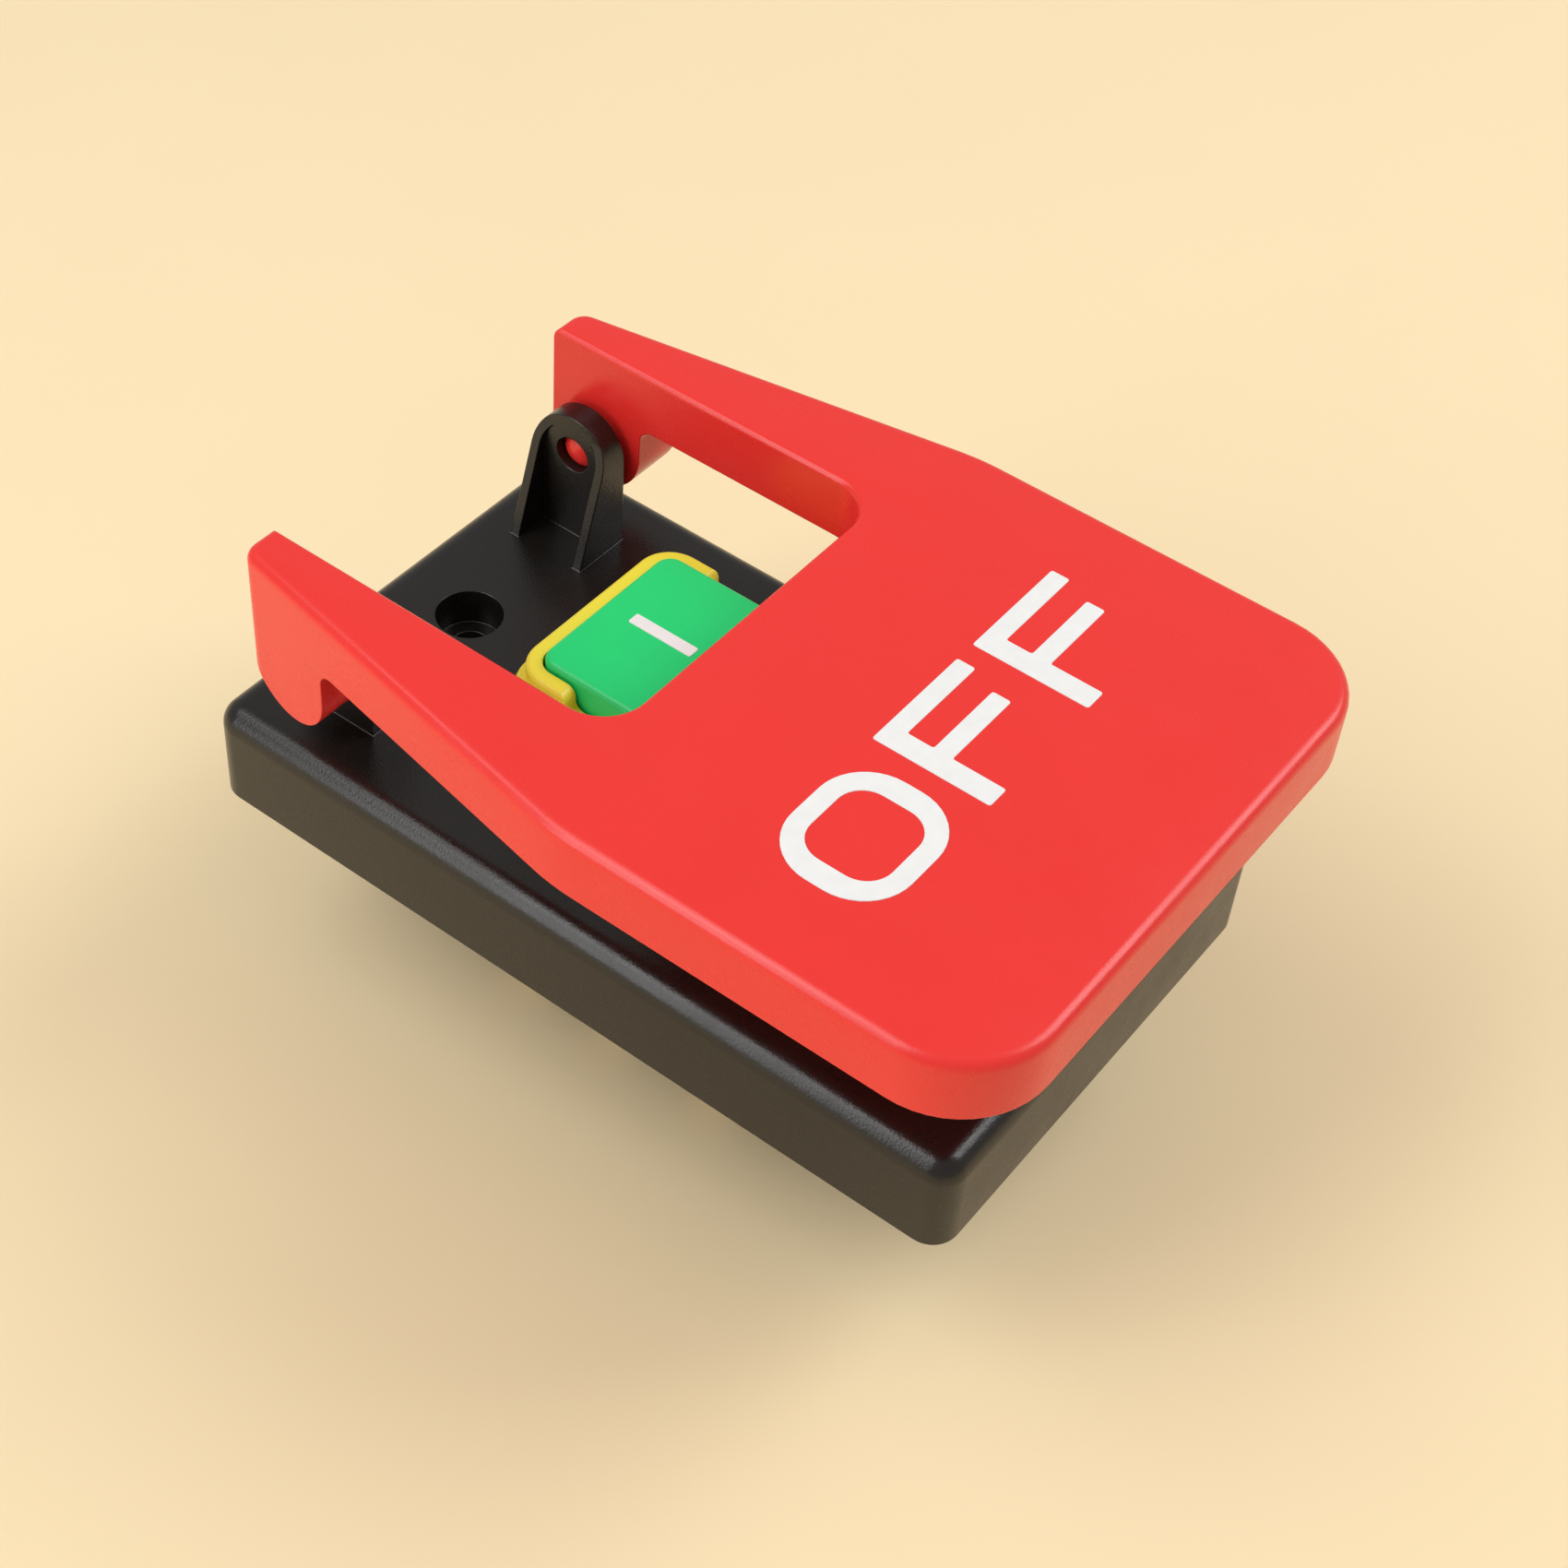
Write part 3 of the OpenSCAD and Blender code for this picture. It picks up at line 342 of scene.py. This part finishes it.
FINISHES = {name: moulded_plastic(name, *values) for name, values in PLASTICS.items()}
FINISHES.update({name: brushed_metal(name, *values) for name, values in METALS.items()})
FINISHES["winding_copper"] = wound_wire("winding_copper", COPPER, COPPER_PITCH)
LETTER_WHITE = printed_white("letter_white", WHITE)


def joined_mesh_nodes():
    """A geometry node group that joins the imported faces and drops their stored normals."""
    group = bpy.data.node_groups.new("joined_mesh", "GeometryNodeTree")
    for way in ("INPUT", "OUTPUT"):
        group.interface.new_socket("Geometry", in_out=way, socket_type="NodeSocketGeometry")
    start = group.nodes.new("NodeGroupInput")
    plain = group.nodes.new("GeometryNodeRemoveAttribute")
    plain.inputs["Name"].default_value = "custom_normal"
    smooth = group.nodes.new("GeometryNodeSetShadeSmooth")
    merge = group.nodes.new("GeometryNodeMergeByDistance")
    merge.inputs["Distance"].default_value = MERGE_DISTANCE * MM
    end = group.nodes.new("NodeGroupOutput")
    chain = [start, plain, smooth, merge, end]
    for before, after in zip(chain, chain[1:]):
        group.links.new(before.outputs[0], after.inputs[0])
    return group


JOINED_MESH = joined_mesh_nodes()


def round_off(piece, width, angle):
    """Rounds edges sharper than that angle by that width in millimetres."""
    edges = piece.modifiers.new("round_edges", "BEVEL")
    edges.limit_method = "ANGLE"
    edges.angle_limit = radians(angle)
    edges.width = width * MM
    edges.segments = EDGE_SEGMENTS
    return edges


def soften(node, width, held):
    """Joins a CAD node's faces and rounds its sharp edges by that width, if any.

    Where held, the width is drawn in so far that no two rounded edges of the node meet.
    """
    joined = node.modifiers.new("joined", "NODES")
    joined.node_group = JOINED_MESH
    if not width:
        return
    flat = node.modifiers.new("flat_faces", "DECIMATE")
    flat.decimate_type = "DISSOLVE"
    flat.angle_limit = radians(FLAT_ANGLE)
    edges = round_off(node, width, EDGE_ANGLE)
    edges.use_clamp_overlap = held
    edges.harden_normals = True


slot_of = {part["node"]: part["material_slot"] for part in frame["record"]["subparts"]}
wound_again = {spring[1] for spring in SPRINGS}
for name, node in nodes.items():
    if name in wound_again:
        continue
    node.data.materials.clear()
    node.data.materials.append(FINISHES[slot_of[name]])
    soften(node, EDGE_WIDTHS.get(name, SMALL_PIECE_EDGE), name not in FULL_WIDTH_EDGES)


def arc(centre, radius, start, end, steps):
    """Points round a centre from one angle to another, in degrees."""
    turns = (radians(start + (end - start) * i / steps) for i in range(steps + 1))
    return [(centre[0] + radius * cos(a), centre[1] + radius * sin(a)) for a in turns]


def rounded_box(left, right, low, high, corner, steps):
    """A rectangle's outline with round corners, anticlockwise."""
    points = []
    for x, y, start in ((right, high, 0), (left, high, 90), (left, low, 180), (right, low, 270)):
        centre_x = x - corner if x == right else x + corner
        centre_y = y - corner if y == high else y + corner
        points += arc((centre_x, centre_y), corner, start, start + 90, steps)
    return points


def eased(points, reach, steps):
    """An outline with each corner rounded over that reach."""
    result = []
    for before, corner, after in zip(points[-1:] + points[:-1], points, points[1:] + points[:1]):
        tip = Vector(corner)
        start, end = (tip + (Vector(side) - tip).normalized() * reach for side in (before, after))
        for i in range(steps + 1):
            t = i / steps
            result.append(start * (1 - t) ** 2 + tip * 2 * t * (1 - t) + end * t ** 2)
    return result


def new_piece(name, mesh, material):
    """Puts a finished bmesh into the scene as a piece with that material."""
    data = bpy.data.meshes.new(name)
    mesh.to_mesh(data)
    mesh.free()
    data.materials.append(material)
    piece = bpy.data.objects.new(name, data)
    bpy.context.scene.collection.objects.link(piece)
    return piece


def inlay(name, outer, inner, low, high, body):
    """A flat raised piece inside an outline, open inside a second one with as many points."""
    mesh = bmesh.new()
    rings = []
    for loop in (outer, inner):
        if loop:
            rings.append([[mesh.verts.new((x * MM, y * MM, z * MM)) for x, y in loop]
                          for z in (low, high)])
    count = len(outer)
    for (below, above), turn in zip(rings, (1, -1)):
        for i in range(count):
            j = (i + 1) % count
            wall = [below[i], below[j], above[j], above[i]]
            mesh.faces.new(wall[::turn])
    if inner:
        for level, turn in ((1, 1), (0, -1)):
            outside, inside = rings[0][level], rings[1][level]
            for i in range(count):
                j = (i + 1) % count
                quad = [outside[i], outside[j], inside[j], inside[i]]
                mesh.faces.new(quad[::turn])
    else:
        mesh.faces.new(rings[0][1])
        mesh.faces.new(rings[0][0][::-1])
    piece = new_piece(name, mesh, LETTER_WHITE)
    round_off(piece, (high - low) / 3, LETTER_EDGE_ANGLE)
    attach(piece, body)


def off_lettering():
    """The word OFF, read from the paddle's free end."""
    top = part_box("paddle")[1].z / MM
    low, high = top - LETTER_RISE, top + LETTER_RISE
    foot = LETTER_TOP - LETTER_HEIGHT
    outer = rounded_box(O_LEFT, O_RIGHT, foot, LETTER_TOP, O_CORNER, O_CORNER_STEPS)
    inner = rounded_box(O_LEFT + LETTER_STEM, O_RIGHT - LETTER_STEM, foot + LETTER_BAR,
                        LETTER_TOP - LETTER_BAR, O_INNER_CORNER, O_CORNER_STEPS)
    inlay("letter_o", outer, inner, low, high, "stop_paddle")
    middle = LETTER_TOP - F_MIDDLE_DROP
    for count, left in enumerate(F_LEFTS, 1):
        stem, middle_end, end = left + LETTER_STEM, left + F_MIDDLE_WIDTH, left + F_WIDTH
        corners = [
            (left, foot), (stem, foot), (stem, middle - LETTER_BAR),
            (middle_end, middle - LETTER_BAR), (middle_end, middle), (stem, middle),
            (stem, LETTER_TOP - LETTER_BAR), (end, LETTER_TOP - LETTER_BAR),
            (end, LETTER_TOP), (left, LETTER_TOP),
        ]
        outline = eased(corners, LETTER_EASE, F_CORNER_STEPS)
        inlay(f"letter_f_{count}", outline, None, low, high, "stop_paddle")


def on_mark():
    """The upright stroke on the start button."""
    low_corner, high_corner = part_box("start_button")
    middle = ((low_corner + high_corner) / 2 / MM).xy + Vector(MARK_SHIFT)
    top = high_corner.z / MM
    outline = rounded_box(middle.x - MARK_WIDTH / 2, middle.x + MARK_WIDTH / 2,
                          middle.y - MARK_LENGTH / 2, middle.y + MARK_LENGTH / 2,
                          MARK_WIDTH / 8, MARK_CORNER_STEPS)
    inlay("start_mark", outline, None, top - MARK_RISE, top + MARK_RISE, "start")


off_lettering()
on_mark()


def wind_coil(mesh, middle, low, high, radius, wire, turns):
    """Adds one compression spring to a mesh, with its wire flat at both ends."""
    rings = []
    last_side = WIRE_SIDES - 1
    for i in range(turns * TURN_STEPS + 1):
        turn = i / TURN_STEPS
        share = min(1.0, max(0.0, (turn - FLAT_TURN) / (turns - 2 * FLAT_TURN)))
        level = low + wire / 2 + (high - low - wire) * share
        a = 2 * pi * turn
        ring = []
        for out, up in arc((radius, level), wire / 2, 0, 360 * last_side / WIRE_SIDES, last_side):
            place = (middle[0] + out * cos(a), middle[1] + out * sin(a), up)
            ring.append(mesh.verts.new(Vector(place) * MM))
        rings.append(ring)
    for before, after in zip(rings, rings[1:]):
        for j in range(WIRE_SIDES):
            k = (j + 1) % WIRE_SIDES
            mesh.faces.new((before[j], before[k], after[k], after[j])).smooth = True
    mesh.faces.new(rings[0][::-1])
    mesh.faces.new(rings[-1])


def spring(name, node, body, joint, radius, wire, turns, pair_axis):
    """A spring, or a pair of them, that stands for its CAD node, which it hides; one with a joint
    gets a mesh of its own.
    """
    low, high = (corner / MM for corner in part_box(node))
    middles = [(low + high) / 2]
    if pair_axis is not None:
        apart = Vector((0, 0, 0))
        apart[pair_axis] = (high[pair_axis] - low[pair_axis]) / 2 - radius - wire / 2
        middles = [middles[0] - apart, middles[0] + apart]
    mesh = bmesh.new()
    for middle in middles:
        wind_coil(mesh, middle, low.z, high.z, radius, wire, turns)
    bmesh.ops.recalc_face_normals(mesh, faces=mesh.faces)
    piece = new_piece(name, mesh, FINISHES[slot_of[node]])
    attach(piece, body)
    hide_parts(node)
    if joint:
        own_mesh(piece)


for values in SPRINGS:
    spring(*values)


def lay_floor(scene):
    """A plain pale floor under the part."""
    ground = cad_box[0][2]
    sides = ((-1, -1), (1, -1), (1, 1), (-1, 1))
    corners = [(x * FLOOR_REACH, y * FLOOR_REACH, ground) for x, y in sides]
    data = bpy.data.meshes.new("floor")
    data.from_pydata(corners, [], [(0, 1, 2, 3)])
    floor = bpy.data.objects.new("floor", data)
    scene.collection.objects.link(floor)
    material, shader, place = new_finish("floor_pale")
    tone = place.noise(FLOOR_BLOTCH, detail=3.0).blend(*FLOOR_TONES)
    plug(place.tree, shader.inputs["Base Color"], tone)
    shader.inputs["Roughness"].default_value = FLOOR_ROUGHNESS
    data.materials.append(material)


def light_room(scene):
    """Even light from all round and three soft lamps from above."""
    world = bpy.data.worlds.new("studio")
    world.use_nodes = True
    room = world.node_tree.nodes["Background"]
    room.inputs["Color"].default_value = ROOM_COLOUR
    room.inputs["Strength"].default_value = ROOM_STRENGTH
    scene.world = world
    for name, place, size, power in LAMPS:
        lamp = bpy.data.lights.new(name, "AREA")
        lamp.shape = "RECTANGLE"
        lamp.size, lamp.size_y = size
        lamp.energy = power
        holder = bpy.data.objects.new(name, lamp)
        holder.location = place
        holder.rotation_euler = (-Vector(place)).to_track_quat("-Z", "Y").to_euler()
        scene.collection.objects.link(holder)


def set_camera(scene):
    """The photograph's camera."""
    angles = (CAMERA_AZIMUTH, CAMERA_ELEVATION, CAMERA_ROLL)
    azimuth, elevation, roll = (radians(angle) for angle in angles)
    across = cos(elevation)
    back = Vector((sin(azimuth) * across, -cos(azimuth) * across, sin(elevation)))
    right = (-back).cross(Vector((0, 0, 1))).normalized()
    up = back.cross(right)
    level = Matrix((right, up, back)).transposed()
    turned = level @ Matrix.Rotation(roll, 3, "Z")
    x, y, distance = CAMERA_OFFSET
    centre = turned @ Vector((-x, y, distance)) * MM
    lens = bpy.data.cameras.new("photo_camera")
    lens.sensor_width = SENSOR_WIDTH
    lens.lens = SENSOR_WIDTH * FOCAL_PX / IMAGE_PX
    camera = bpy.data.objects.new("photo_camera", lens)
    camera.matrix_world = Matrix.Translation(centre) @ turned.to_4x4()
    scene.collection.objects.link(camera)
    scene.camera = camera


studio = bpy.context.scene
studio.view_settings.view_transform = "Standard"
lay_floor(studio)
light_room(studio)
set_camera(studio)
